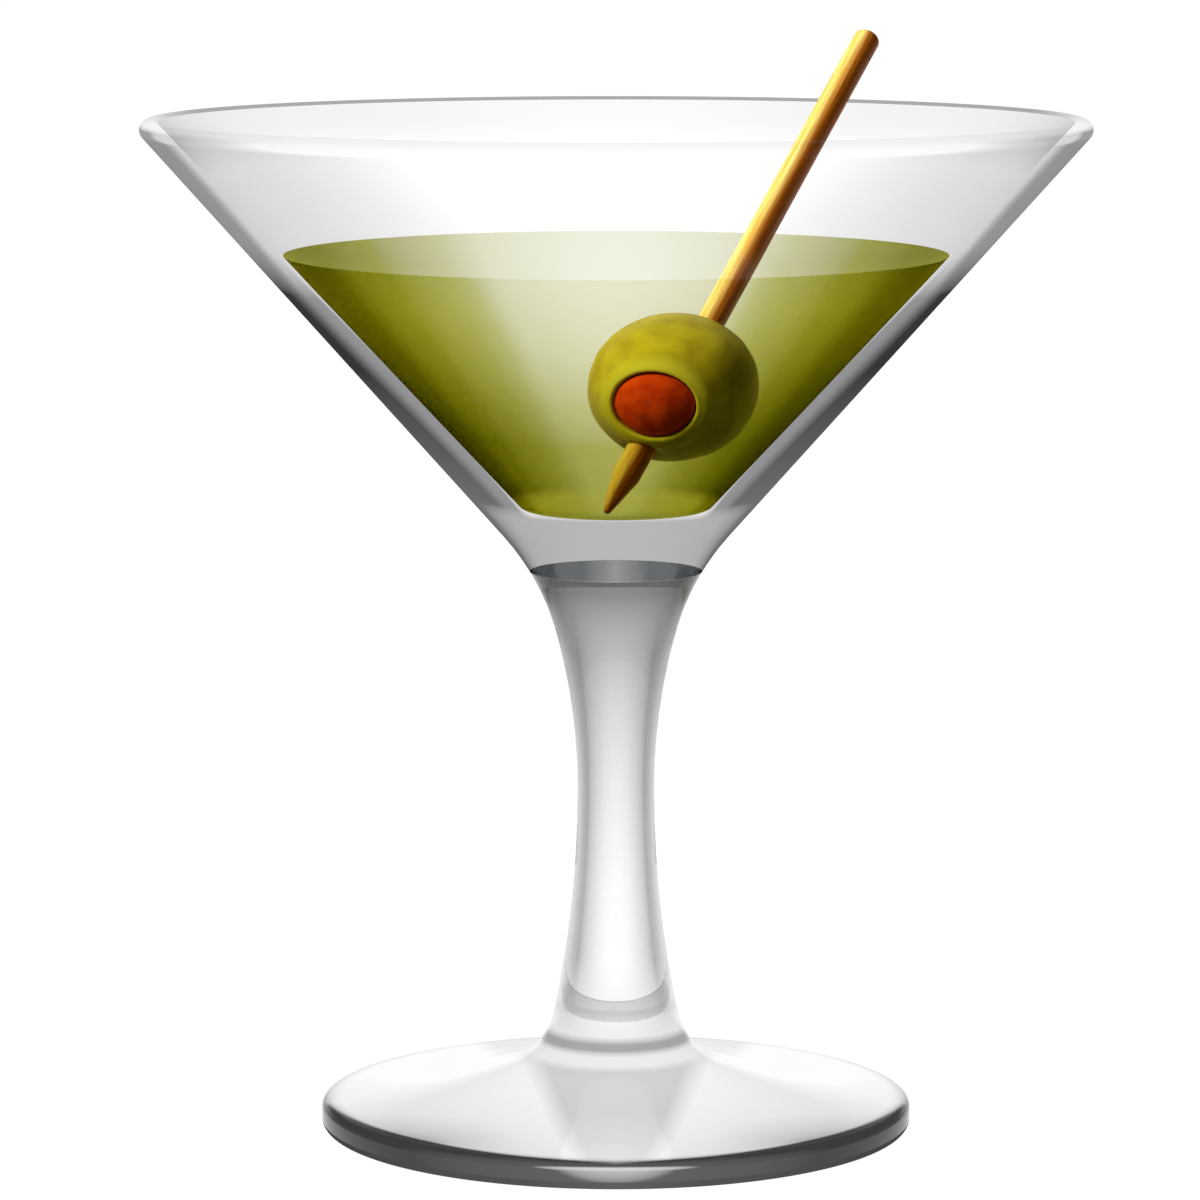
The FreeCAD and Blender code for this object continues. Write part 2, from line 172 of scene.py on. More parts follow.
def ring_faces(rings, steps, closed=False):
    """Quads between closed rings of points that follow each other, the last ring joined to the
    first where the whole is closed.  They face outwards where the rings run with the angle
    and the outline is walked with the solid on its left."""
    count = rings if closed else rings - 1
    ring, step = np.meshgrid(np.arange(count), np.arange(steps), indexing="ij")
    below, above = ring * steps, (ring + 1) % rings * steps
    after = (step + 1) % steps
    return np.stack([below + step, below + after, above + after, above + step],
                    axis=-1).reshape(-1, 4)


def pole_faces(pole, first, steps, upwards):
    """Triangles from a pole to the ring of points that starts at `first`."""
    step = np.arange(steps)
    here, after = first + step, first + (step + 1) % steps
    ends = (here, after) if upwards else (after, here)
    return np.stack([np.full(steps, pole), *ends], axis=-1)


def closed_rings(name, rings, poles, materials, normals=None, pole_normals=None,
                 ring_slots=None):
    """Closed piece from an array of rings (ring, step, xyz) and its first and last pole."""
    count, steps = rings.shape[:2]
    points = np.concatenate([rings.reshape(-1, 3), poles])
    if normals is not None:
        normals = np.concatenate([normals.reshape(-1, 3), pole_normals])
    quads = ring_faces(count, steps)
    start = pole_faces(count * steps, 0, steps, upwards=False)
    end = pole_faces(count * steps + 1, (count - 1) * steps, steps, upwards=True)
    slots = None
    if ring_slots is not None:
        slots = np.concatenate([np.repeat(ring_slots[1:-1], steps),
                                np.full(steps, ring_slots[0]), np.full(steps, ring_slots[-1])])
    faces = quads.tolist() + start.tolist() + end.tolist()
    return new_piece(name, points, faces, materials, normals, slots)


def turned(name, outline, normals, materials, steps, ring_slots=None):
    """Closed surface of an outline of radius and height carried round the Z axis: x is the
    radius times the cosine and y the radius times the sine of the angle.  The outline starts
    and ends on the axis."""
    angle = np.arange(steps) * 2 * math.pi / steps
    circle = np.stack([np.cos(angle), np.sin(angle)], axis=-1)

    def carried(rows):
        rings = np.empty((len(rows), steps, 3))
        rings[..., :2] = rows[:, None, :1] * circle
        rings[..., 2] = rows[:, 1:]
        return rings

    def on_axis(rows):
        return np.array([[0, 0, rows[0, 1]], [0, 0, rows[-1, 1]]])

    return closed_rings(name, carried(outline[1:-1]), on_axis(outline), materials,
                        carried(normals[1:-1]), on_axis(normals), ring_slots)


def bumps(directions, waves, seed):
    """Smooth unevenness over a shape, about -1 to 1: the mean of sine waves whose fronts lie
    square to random directions, `waves` of them to a unit of length."""
    random = np.random.default_rng(seed)
    fronts = random.normal(size=(12, 3))
    fronts *= waves * 2 * math.pi / np.linalg.norm(fronts, axis=1, keepdims=True)
    phases = random.uniform(0, 2 * math.pi, 12)
    return np.sin(directions @ fronts.T + phases).mean(axis=-1) * 2


# Materials ----

def add_node(tree, kind, inputs=None, **settings):
    """Node of a kind with its settings, and its inputs set to values or linked to sockets."""
    made = tree.nodes.new(kind)
    for name, value in settings.items():
        setattr(made, name, value)
    for name, value in (inputs or {}).items():
        if isinstance(value, bpy.types.NodeSocket):
            tree.links.new(value, made.inputs[name])
        else:
            made.inputs[name].default_value = value
    return made


def add_math(tree, operation, first, second=0.0):
    """Sum, product or other operation of two sockets or numbers, as a socket."""
    return add_node(tree, "ShaderNodeMath", {0: first, 1: second},
                    operation=operation).outputs[0]


def add_share(tree, value, low, high, start=0.0, end=1.0):
    """Share of the way of a value from one number to another, as a socket."""
    return add_node(tree, "ShaderNodeMapRange", {
        "Value": value, "From Min": low, "From Max": high, "To Min": start,
        "To Max": end}).outputs["Result"]


def part_of(tree, vector, axis):
    """X, Y or Z of a vector, as a socket."""
    return add_node(tree, "ShaderNodeSeparateXYZ", {0: vector}).outputs[axis]


def opaque(tone):
    """Opaque colour from a linear colour or from one number, a grey."""
    return (tone, tone, tone, 1.0) if isinstance(tone, float) else (*tone, 1.0)


def add_ramp(tree, factor, stops):
    """Colour ramp over a factor from pairs of a position and a grey or a linear colour."""
    made = add_node(tree, "ShaderNodeValToRGB", {"Fac": factor})
    elements = made.color_ramp.elements
    for _ in stops[2:]:
        elements.new(0.5)
    for element, (position, tone) in zip(elements, stops):
        element.position = position
        element.color = opaque(tone)
    return made.outputs["Color"]


def add_mix(tree, factor, first, second, blend="MIX"):
    """Two colours, or greys, mixed by a factor, as a socket."""
    made = add_node(tree, "ShaderNodeMix", {"Factor": factor}, data_type="RGBA",
                    blend_type=blend)
    for socket, value in ((made.inputs[6], first), (made.inputs[7], second)):
        if isinstance(value, bpy.types.NodeSocket):
            tree.links.new(value, socket)
        else:
            socket.default_value = opaque(value)
    return made.outputs[2]


def add_bump(tree, height, distance):
    """Normal of a surface raised by a height, where a height of 1 is `distance` metres."""
    return add_node(tree, "ShaderNodeBump", {
        "Height": height, "Distance": distance, "Strength": 1.0}).outputs["Normal"]


def new_material(name, **values):
    """Material with a Principled BSDF whose sockets have these values; returns both its tree
    and the shader."""
    material = bpy.data.materials.new(name)
    material.use_nodes = True
    shader = material.node_tree.nodes["Principled BSDF"]
    for socket, value in values.items():
        shader.inputs[socket.replace("_", " ")].default_value = value
    return material, material.node_tree, shader


def mottle_group():
    """Node group of uneven tone: Mask is soft blotches of a given size in metres from 0 to 1,
    and Height is the same with finer ripples."""
    name = "Mottle"
    if name in bpy.data.node_groups:
        return bpy.data.node_groups[name]
    group = bpy.data.node_groups.new(name, "ShaderNodeTree")
    group.interface.new_socket("Place", in_out="INPUT", socket_type="NodeSocketVector")
    for socket, value in (("Size", 0.002), ("Contrast", 1.0)):
        made = group.interface.new_socket(socket, in_out="INPUT", socket_type="NodeSocketFloat")
        made.default_value = value
    for socket in ("Mask", "Height"):
        group.interface.new_socket(socket, in_out="OUTPUT", socket_type="NodeSocketFloat")
    given = add_node(group, "NodeGroupInput")
    scale = add_math(group, "DIVIDE", 1.0, given.outputs["Size"])
    blotches = add_node(group, "ShaderNodeTexNoise", {
        "Vector": given.outputs["Place"], "Scale": scale, "Detail": 2.0, "Roughness": 0.5})
    ripples = add_node(group, "ShaderNodeTexNoise", {
        "Vector": given.outputs["Place"], "Scale": add_math(group, "MULTIPLY", scale, 3.0),
        "Detail": 3.0, "Roughness": 0.6})
    centred = add_math(group, "SUBTRACT", blotches.outputs["Fac"], 0.5)
    spread = add_math(group, "MULTIPLY", centred, add_math(group, "MULTIPLY", 2.5,
                                                           given.outputs["Contrast"]))
    mask = add_node(group, "ShaderNodeClamp", {"Value": add_math(group, "ADD", spread, 0.5)})
    height = add_math(group, "ADD", mask.outputs[0],
                      add_math(group, "MULTIPLY", ripples.outputs["Fac"], 0.35))
    add_node(group, "NodeGroupOutput", {"Mask": mask.outputs[0], "Height": height})
    return group


def add_mottle(tree, place, size, contrast=1.0):
    """The uneven tone in a material: its mask and its height."""
    made = add_node(tree, "ShaderNodeGroup", node_tree=mottle_group())
    tree.links.new(place, made.inputs["Place"])
    made.inputs["Size"].default_value = size
    made.inputs["Contrast"].default_value = contrast
    return made.outputs["Mask"], made.outputs["Height"]


def object_place(tree):
    """Object coordinates in metres."""
    return add_node(tree, "ShaderNodeTexCoord").outputs["Object"]


def attribute_of(tree, name, output="Fac"):
    """A piece's own attribute."""
    return add_node(tree, "ShaderNodeAttribute", attribute_name=name).outputs[output]


def add_height_ramp(tree, place, low, high, stops):
    """Colour ramp from one height to another."""
    return add_ramp(tree, add_share(tree, part_of(tree, place, "Z"), low, high), stops)


def add_height_mask(tree, place, low, high):
    """0 below one height, 1 above another."""
    return add_height_ramp(tree, place, low, high, [(0.0, 0.0), (1.0, 1.0)])


def add_radius_share(tree, place, inner, outer):
    """Share of the way from one distance from the Z axis to another."""
    level = add_node(tree, "ShaderNodeVectorMath", {0: place, 1: (1.0, 1.0, 0.0)},
                     operation="MULTIPLY")
    away = add_node(tree, "ShaderNodeVectorMath", {0: level.outputs[0]}, operation="LENGTH")
    return add_share(tree, away.outputs["Value"], inner, outer)


def facing_up(tree):
    """How far a surface faces up: 1 where it is level and -1 on an underside."""
    return part_of(tree, add_node(tree, "ShaderNodeNewGeometry").outputs["Normal"], "Z")


def add_level_mask(tree):
    """1 where a surface is level, 0 where it slopes."""
    return add_share(tree, add_math(tree, "ABSOLUTE", facing_up(tree)), 0.9, 0.99)


def off_middle(tree, place):
    """Distance to the left or right of the glass's middle."""
    return add_math(tree, "ABSOLUTE", part_of(tree, place, "X"))


def clear_material(name, ior, tints, shadow=0.97, **values):
    """Glass or liquid with a tint for rays that enter and one for rays that leave.

    `tints` makes both from the tree, from how far the surface turns away and from the place.
    Light on its way to what stands inside or behind passes straight through, so that it is
    lit as through real glass."""
    material, tree, shader = new_material(name, Transmission_Weight=1.0, IOR=ior,
                                          Roughness=0.0, **values)
    # The tints made from how far a surface turns away paint shade and light in place of what bent
    # light would show.
    facing = add_node(tree, "ShaderNodeLayerWeight", {"Blend": 0.5}).outputs["Facing"]
    place = object_place(tree)
    entering, leaving = tints(tree, facing, place)
    inside = add_node(tree, "ShaderNodeNewGeometry").outputs["Backfacing"]
    tree.links.new(add_mix(tree, inside, entering, leaving), shader.inputs["Base Color"])
    path = add_node(tree, "ShaderNodeLightPath")
    lighting = add_math(tree, "MAXIMUM", path.outputs["Is Shadow Ray"],
                        path.outputs["Is Diffuse Ray"])
    through = add_node(tree, "ShaderNodeBsdfTransparent", {"Color": (shadow,) * 3 + (1.0,)})
    seen = add_node(tree, "ShaderNodeMixShader", {
        0: lighting, 1: shader.outputs[0], 2: through.outputs[0]})
    tree.links.new(seen.outputs[0], tree.nodes["Material Output"].inputs["Surface"])
    return material


# Settings ----

def length(name, millimetres, description):
    """Length property, given in millimetres."""
    return bpy.props.FloatProperty(name=name, description=description, subtype="DISTANCE",
                                   unit="LENGTH", default=millimetres * MM, min=0.0)


def degrees(name, angle, description):
    """Angle property, given in degrees."""
    return bpy.props.FloatProperty(name=name, description=description, subtype="ANGLE",
                                   unit="ROTATION", default=math.radians(angle))


def colour(name, linear, description):
    """Colour property."""
    return bpy.props.FloatVectorProperty(name=name, description=description, subtype="COLOR",
                                         size=3, min=0.0, max=1.0, default=linear)


class GlassSettings(bpy.types.PropertyGroup):
    """Sizes of the glass."""
    joint_height: length("Joint", 70.3, "Height at which the bowl is fused to its stem")
    joint_gap: length("Joint gap", 0.04, "Film between bowl and stem at the joint")
    rim_height: length("Rim height", 2.0, "Height of the fire-polished rim")
    # Painted shade: the dark line along the foot's lower edge reaches this high.
    foot_rounding: length("Foot rounding", 1.0, "Height of the foot's dark lower edge")
    steps: bpy.props.IntProperty(name="Steps", description="Corners round the glass",
                                 default=256, min=32)


class DrinkSettings(bpy.types.PropertyGroup):
    """Sizes of the drink."""
    into_wall: length("Into the wall", 0.12, "How far the drink reaches into the glass")
    meniscus: length("Meniscus", 0.5, "How far the drink climbs at the wall")
    steps: bpy.props.IntProperty(name="Steps", description="Corners round the drink",
                                 default=256, min=32)


class OliveSettings(bpy.types.PropertyGroup):
    """Sizes and colours of the olive and its pimento."""
    half_length: length("Half length", 11.9, "From the olive's middle to its stuffed end")
    half_width: length("Half width", 10.7, "Half of the olive's level thickness")
    half_height: length("Half height", 9.2, "Half of the olive's upright thickness")
    turn: degrees("Turn", 14.5, "Turn of the stuffed end to the left of the viewer")
    dip: degrees("Dip", 7.0, "How far the stuffed end points down")
    front_width: length("Front width", 5.2, "Half width of the pimento at the stuffed end")
    front_height: length("Front height", 4.0, "Half height of the pimento there")
    back_width: length("Back width", 2.4, "Half width of the pimento at the other end")
    back_height: length("Back height", 1.9, "Half height of the pimento there")
    lip_round: length("Lip", 0.7, "Rounding of the flesh round the pimento")
    lip_height: length("Lip height", 0.35, "How far that flesh swells out")
    dome: length("Dome", 0.45, "How far the pimento bulges")
    # The light skin is the paler tone between the blotches; no side of the olive is painted
    # lighter.
    skin_light: colour("Light skin", (0.55, 0.45, 0.014), "Sunny side of the skin")
    skin_dark: colour("Dark skin", (0.37, 0.28, 0.008), "Blotches of the skin")
    lip: colour("Lip", (0.60, 0.53, 0.03), "Cut edge of the flesh")
    pimento_light: colour("Light pimento", (0.68, 0.060, 0.004), "Ridges of the pimento")
    # Partly painted shade: the darker red where the folds sink in.
    pimento_dark: colour("Dark pimento", (0.54, 0.034, 0.002), "Folds of the pimento")


class PickSettings(bpy.types.PropertyGroup):
    """Sizes and colours of the wooden pick."""
    radius: length("Radius", 1.75, "Half the thickness of the pick")
    point_length: length("Point length", 6.5, "Tapered point")
    point_radius: length("Point radius", 0.4, "Blunt end of the point")
    end_round: length("End rounding", 0.45, "Softened edge at the upper end")
    wood_light: colour("Light wood", (1.0, 0.76, 0.22), "Wood between its grain lines")
    # Painted shade: the red-brown of the pick's shaded side.
    wood_shade_side: colour("Shaded side", (0.42, 0.11, 0.005), "Reddish side of the pick")
    wood_dark: colour("Dark wood", (0.84, 0.46, 0.07), "Grain lines")


class StageSettings(bpy.types.PropertyGroup):
    """Camera, light and floor."""
    lens: bpy.props.FloatProperty(name="Lens", description="Focal length in millimetres",
                                  subtype="DISTANCE_CAMERA", default=171.0, min=1.0)
    distance: length("Distance", 706.0, "From the glass's axis to the camera, along the floor")
    camera_height: length("Camera height", 162.1, "Camera above the floor")
    aside: length("Aside", 2.0, "How far the camera stands to the left of the axis")
    look_down: degrees("Look down", 7.7, "Tilt of the camera under the level")
    floor: colour("Floor", (0.03, 0.03, 0.03), "How much light the floor scatters")


SETTINGS = {
    "cocktail_glass": GlassSettings,
    "cocktail_drink": DrinkSettings,
    "cocktail_olive": OliveSettings,
    "cocktail_pick": PickSettings,
    "cocktail_stage": StageSettings,
}


# Pieces ----

def bowl_material():
    """Bowl with painted shade: clear in the middle, grey towards its sides and dark along its
    outline, above all beside the drink, with a grey solid heel."""
    upper = [(0.349, 0.96), (0.37, 0.86), (0.412, 0.72), (0.46, 0.62), (0.534, 0.52),
             (0.645, 0.45), (0.732, 0.38), (0.75, 0.34), (0.771, 0.18), (0.80, 0.085), (1.0, 0.07)]
    lower = [(0.60, 1.0), (0.645, (0.085, 0.085, 0.0893)), (0.69, (0.072, 0.072, 0.0756)),
             (0.72, (0.036, 0.036, 0.0378)), (0.76, 0.009), (0.80, 0.0014), (1.0, 0.0010)]
    back = [(0.219, 0.98), (0.231, 0.93), (0.279, 0.85), (0.332, 0.79), (0.463, 0.76),
            (0.61, 0.69), (0.73, 0.57), (0.85, 0.44), (1.0, 0.36)]
    solid = [(0.30, 0.22), (0.60, 0.17), (0.72, 0.09), (0.80, 0.03), (1.0, 0.01)]
    mid_drink = 98 * MM
    lean_per_metre = 6.6

    def tints(tree, facing, place):
        """Painted shade on the outer wall by height: heel, beside the drink, above it; and on the
        inner wall near the rim.
        """
        above_mid = add_math(tree, "SUBTRACT", part_of(tree, place, "Z"), mid_drink)
        lean = add_math(tree, "MULTIPLY", above_mid, -lean_per_metre)
        beside = add_ramp(tree, add_math(tree, "ADD", facing, lean), lower)
        palest = add_height_ramp(tree, place, 78 * MM, mid_drink, [
            (0.0, 0.025), (0.4, 0.011), (1.0, 0.0)])
        beside = add_mix(tree, 1.0, beside, palest, "LIGHTEN")
        above_drink = add_height_mask(tree, place, 106 * MM, 112 * MM)
        sides = add_mix(tree, above_drink, beside, add_ramp(tree, facing, upper))
        above_heel = add_height_mask(tree, place, 78.5 * MM, 80 * MM)
        outer = add_mix(tree, above_heel, add_ramp(tree, facing, solid), sides)
        near_rim = add_height_mask(tree, place, 119.5 * MM, 124 * MM)
        inner = add_mix(tree, near_rim, WHITE, add_ramp(tree, facing, back))
        inner_side = add_share(tree, facing_up(tree), 0.0, 0.2)
        walls = add_mix(tree, inner_side, outer, inner)
        return add_mix(tree, add_level_mask(tree), walls, WHITE), WHITE

    def rim_tints(tree, facing, place):
        """Painted shade: a line along the rounded rim, darker at the back."""
        rounded = add_share(tree, facing_up(tree), 0.2, 0.6)
        farther = add_share(tree, part_of(tree, place, "Y"), -20 * MM, 20 * MM)
        line = add_mix(tree, farther, 0.86, 0.16)
        return add_mix(tree, rounded, add_ramp(tree, facing, upper), line), WHITE

    return [clear_material("bowl_glass", UNBENT, tints),
            clear_material("rim_glass", UNBENT, rim_tints, Coat_Weight=0.15)]


def stem_material():
    """Stem and foot with painted shade: clear in the middle, grey towards the edges, darker under
    the bowl.
    """
    edge = [(0.0, 1.0), (0.12, 0.62), (0.33, 0.18), (0.45, 0.24), (0.65, 0.42), (1.0, 0.42)]
    heights = [(0.0, 1.0), (0.2, 0.86), (0.5, 0.66), (0.68, 0.50), (0.82, 0.33), (0.92, 0.21),
               (1.0, 0.09)]
    upper_edge = [(0.0, 1.0), (0.15, 0.75), (0.33, 0.45), (0.50, 0.16), (1.0, 0.06)]
    rings = [(0.0, 0.60), (0.08, 0.55), (0.15, 0.97), (0.24, 0.97), (0.31, 0.22), (0.38, 0.22),
             (0.47, 0.97), (0.66, 0.98), (0.76, 0.70), (0.84, 0.98), (1.0, 1.0)]
    band_stops = [(0.0, 0.45), (0.04, 0.010), (0.3, 0.002)]
    rim_stops = [(0.0, 0.0), (0.4, 0.15), (0.7, 0.5), (0.9, 0.92), (1.0, 1.0)]
    ring_stops = [(0.0, 0.40), (0.12, 0.28), (0.40, (0.085, 0.10, 0.11)),
                  (1.0, (0.10, 0.115, 0.125))]
    line_stops = [(0.0, 0.012), (0.3, 0.007), (1.0, 0.003)]

    def tints(tree, facing, place):
        """Foot with the stem's soft image in it, a painted reflection, and a dark rim of painted
        shade; stem with painted shade at its sides.
        """
        across = off_middle(tree, place)
        nearer = add_math(tree, "MULTIPLY", part_of(tree, place, "Y"), -1.0)
        # Painted reflection: the stem's soft image in the foot, with its light and dark arcs.
        bulb = add_math(tree, "ADD", across, add_math(tree, "MULTIPLY", nearer, 0.2))
        middle = add_share(tree, bulb, 10 * MM, 12.8 * MM, 1.0, 0.0)
        arcs = add_mix(tree, middle, WHITE, add_height_ramp(tree, place, 8 * MM, 18 * MM, rings))
        away = add_radius_share(tree, place, 20 * MM, 34 * MM)
        image = add_math(tree, "MULTIPLY", middle, add_math(tree, "SUBTRACT", 1.0, away))
        top = add_mix(tree, image, 0.94, 0.72)
        neck = add_height_mask(tree, place, 60.5 * MM, 68 * MM)
        shaded = add_mix(tree, neck, add_ramp(tree, facing, edge),
                         add_ramp(tree, facing, upper_edge))
        stem = add_height_mask(tree, place, 10 * MM, 22 * MM)
        sides = add_mix(tree, 1.0, add_mix(tree, stem, top, shaded), arcs, "MULTIPLY")
        # Painted shade: the stem darkens upwards under the bowl.
        shade_by_height = add_height_ramp(tree, place, 27 * MM, 68.5 * MM, heights)
        front = add_share(tree, nearer, 4 * MM, 26 * MM)
        broad = add_math(tree, "MULTIPLY", add_math(tree, "MULTIPLY", across, 36.0), front)
        reach = add_math(tree, "ADD", broad, add_radius_share(tree, place, 34.5 * MM, 36.8 * MM))
        rim = add_ramp(tree, reach, rim_stops)
        band = add_ramp(tree, facing, band_stops)
        sides = add_mix(tree, rim, sides, band)
        return add_mix(tree, 1.0, sides, shade_by_height, "MULTIPLY"), WHITE

    def clear(tree, facing, place):
        return WHITE, WHITE

    def joint_tints(tree, facing, place):
        """Painted shade as a dark ring, with a painted highlight as a lighter notch in the middle,
        as seen from the front.
        """
        across = add_share(tree, off_middle(tree, place), 0.0, 10 * MM)
        return add_ramp(tree, across, ring_stops), 0.30

    def edge_tints(tree, facing, place):
        """Painted shade: a dark line along the foot's lower edge, greyer in the middle of the
        front.
        """
        across = add_share(tree, off_middle(tree, place), 0.0, 33.3 * MM)
        return add_ramp(tree, across, line_stops), WHITE

    return [clear_material("stem_glass", 1.3, tints), clear_material("underside", UNBENT, clear),
            clear_material("joint_glass", UNBENT, joint_tints),
            clear_material("foot_edge", UNBENT, edge_tints)]


def glass_parts(settings):
    """Outlines of the stem with its foot and of the bowl, each closed on the axis, with their
    normals: the glass's own half section, parted at the joint."""
    outline, normals = refined(*half_section("glass"))
    narrow = outline[:, 0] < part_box("drink")[1].x
    above = int(np.argmax(narrow & (outline[:, 1] > settings.joint_height)))
    below = above - 1
    share = (settings.joint_height - outline[below, 1]) / (outline[above, 1] - outline[below, 1])
    edge = outline[below] + share * (outline[above] - outline[below])
    edge_normal = normals[below] + share * (normals[above] - normals[below])
    edge_normal /= np.linalg.norm(edge_normal)
    radii = np.linspace(0, edge[0] - 0.05 * MM, 12)
    joint = np.stack([radii, np.full_like(radii, edge[1])], axis=1)
    up = np.tile(UP, (len(radii), 1))
    stem = (np.concatenate([[[0, outline[0, 1]]], outline[:above], [edge], joint[::-1]]),
            np.concatenate([[DOWN], normals[:above], [edge_normal], up[::-1]]))
    slots = np.zeros(len(stem[0]) - 1, dtype=np.int32)
    slots[stem[0][:-1, 1] < settings.foot_rounding] = FOOT_EDGE
    slots[0] = UNDERSIDE
    slots[-len(joint):] = JOINT
    raised = np.array([0, settings.joint_gap])
    bowl = (np.concatenate([joint + raised, [edge + raised], outline[above:],
                            [[0, outline[-1, 1]]]]),
            np.concatenate([-up, [edge_normal], normals[above:], [UP]]))
    top = outline[:, 1].max()
    high = bowl[0][:, 1] > top - settings.rim_height
    rim = (high[:-1] & high[1:]).astype(np.int32)
    return (*stem, slots), (*bowl, rim)


def drink_materials(settings):
    """Body and surface of the drink, with painted light and shade: pale in the middle, deep olive
    towards its sides and darker towards the bottom."""
    near = [(0.372, (0.80, 0.80, 0.66)), (0.40, (0.56, 0.56, 0.22)), (0.432, (0.52, 0.51, 0.11)),
            (0.50, (0.47, 0.46, 0.05)), (0.60, (0.38, 0.37, 0.012)), (0.69, (0.16, 0.15, 0.0006)),
            (0.778, (0.10, 0.09, 0.0004)), (1.0, (0.12, 0.11, 0.001))]
    far = [(0.0, (0.46, 0.47, 0.18)), (0.10, (0.66, 0.67, 0.40)), (0.20, (0.84, 0.84, 0.68)),
           (0.236, (0.68, 0.69, 0.47)), (0.34, (0.37, 0.37, 0.12)),
           (0.476, (0.17, 0.17, 0.008)), (0.643, (0.09, 0.085, 0.0012)),
           (0.80, (0.10, 0.095, 0.0014)), (1.0, (0.16, 0.15, 0.003))]
    heights = [(0.0, (0.18, 0.18, 0.010)), (0.32, (0.21, 0.21, 0.017)), (0.50, (0.40, 0.40, 0.12)),
               (0.76, (0.76, 0.76, 0.50)), (1.0, (1.0, 1.0, 0.92))]

    def body_tints(tree, facing, place):
        """Painted light and shade on the walls by how far they turn away and by height, with a
        paler underside.
        """
        # Painted shade: the drink darkens towards the bottom.
        shade_by_height = add_height_ramp(tree, place, 78 * MM, 109 * MM, heights)
        above_floor = add_height_mask(tree, place, 78.3 * MM, 79.5 * MM)
        under = add_share(tree, facing_up(tree), -0.72, -0.90)
        sides = add_mix(tree, under, add_ramp(tree, facing, near), (0.9, 0.9, 0.5))
        return (add_mix(tree, 1.0, sides, shade_by_height, "MULTIPLY"),
                add_mix(tree, above_floor, (0.8, 0.8, 0.45), add_ramp(tree, facing, far)))

    def surface_tints(tree, facing, place):
        return (1.0, 1.0, 0.96), WHITE

    return (clear_material("drink_body", UNBENT, body_tints, shadow=0.9),
            clear_material("drink_surface", UNBENT, surface_tints, shadow=0.95,
                           Coat_Weight=0.03))


def drink_outline(settings):
    """Outline of the drink from the middle of its underside to the middle of its surface:
    the glass's inner outline moved into the wall, then the level surface, which climbs at
    the wall as exp(-distance / 1 mm)."""
    outline, normals = refined(*half_section("glass"))
    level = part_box("drink")[1].z
    inner, inward = outline[::-1], -normals[::-1]
    wetted = int(np.argmax(inner[:, 1] > level + settings.meniscus))
    before, after = inner[wetted - 1], inner[wetted]
    share = (level + settings.meniscus - before[1]) / (after[1] - before[1])
    shore = before + share * (after - before)
    wall = np.concatenate([inner[:wetted], [shore]]) + settings.into_wall * inward[:wetted + 1]
    wall[-1, 1] = level + settings.meniscus
    from_wall = np.array([0.0, 0.12, 0.3, 0.6, 1.0, 1.6, 2.4, 3.6, 6.0, 12.0, 24.0]) * MM
    climb = settings.meniscus * np.exp(-from_wall / MM)
    radii = wall[-1, 0] - 0.03 * MM - from_wall
    surface = np.stack([radii, level + climb], axis=1)
    slope = climb / MM
    up = np.stack([-slope, np.ones_like(slope)], axis=1)
    up /= np.linalg.norm(up, axis=1, keepdims=True)
    rows = np.concatenate([[[0, wall[0, 1]]], wall, surface, [[0, level]]])
    facing = np.concatenate([[DOWN], inward[:wetted + 1], up, [UP]])
    slots = np.concatenate([np.zeros(len(wall)), np.ones(len(surface) + 1)]).astype(np.int32)
    return rows, facing, slots


def olive_frame(settings):
    """Middle of the olive and its axes: level, upright and out of the stuffed end.  Its
    middle is the middle of the box round the olive and its pimento."""
    corners = np.array([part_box("olive"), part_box("pimento")])
    middle = (corners[:, 0].min(axis=0) + corners[:, 1].max(axis=0)) / 2
    turn, dip = settings.turn, settings.dip
    forward = np.array([-math.sin(turn) * math.cos(dip), -math.cos(turn) * math.cos(dip),
                        -math.sin(dip)])
    level = np.array([math.cos(turn), -math.sin(turn), 0.0])
    upright = np.cross(forward, level)
    return middle, np.stack([level, upright, forward])


def olive_point(settings, widths, heights, end, angle):
    """Points of the olive's ellipsoid over an ellipse of these half widths and half heights:
    x is the width times the cosine, y the height times the sine, and z is what is left of
    the ellipsoid's equation, towards the stuffed end (1) or the other one (-1)."""
    x = widths * np.cos(angle)
    y = heights * np.sin(angle)
    left = 1 - (x / settings.half_width) ** 2 - (y / settings.half_height) ** 2
    z = end * settings.half_length * np.sqrt(np.maximum(left, 0))
    return np.stack([x, y, z], axis=-1)


def ellipsoid_normals(settings, points):
    """Outward normals of the olive's ellipsoid at its points."""
    radii = np.array([settings.half_width, settings.half_height, settings.half_length])
    normals = points / radii ** 2
    return normals / np.linalg.norm(normals, axis=-1, keepdims=True)


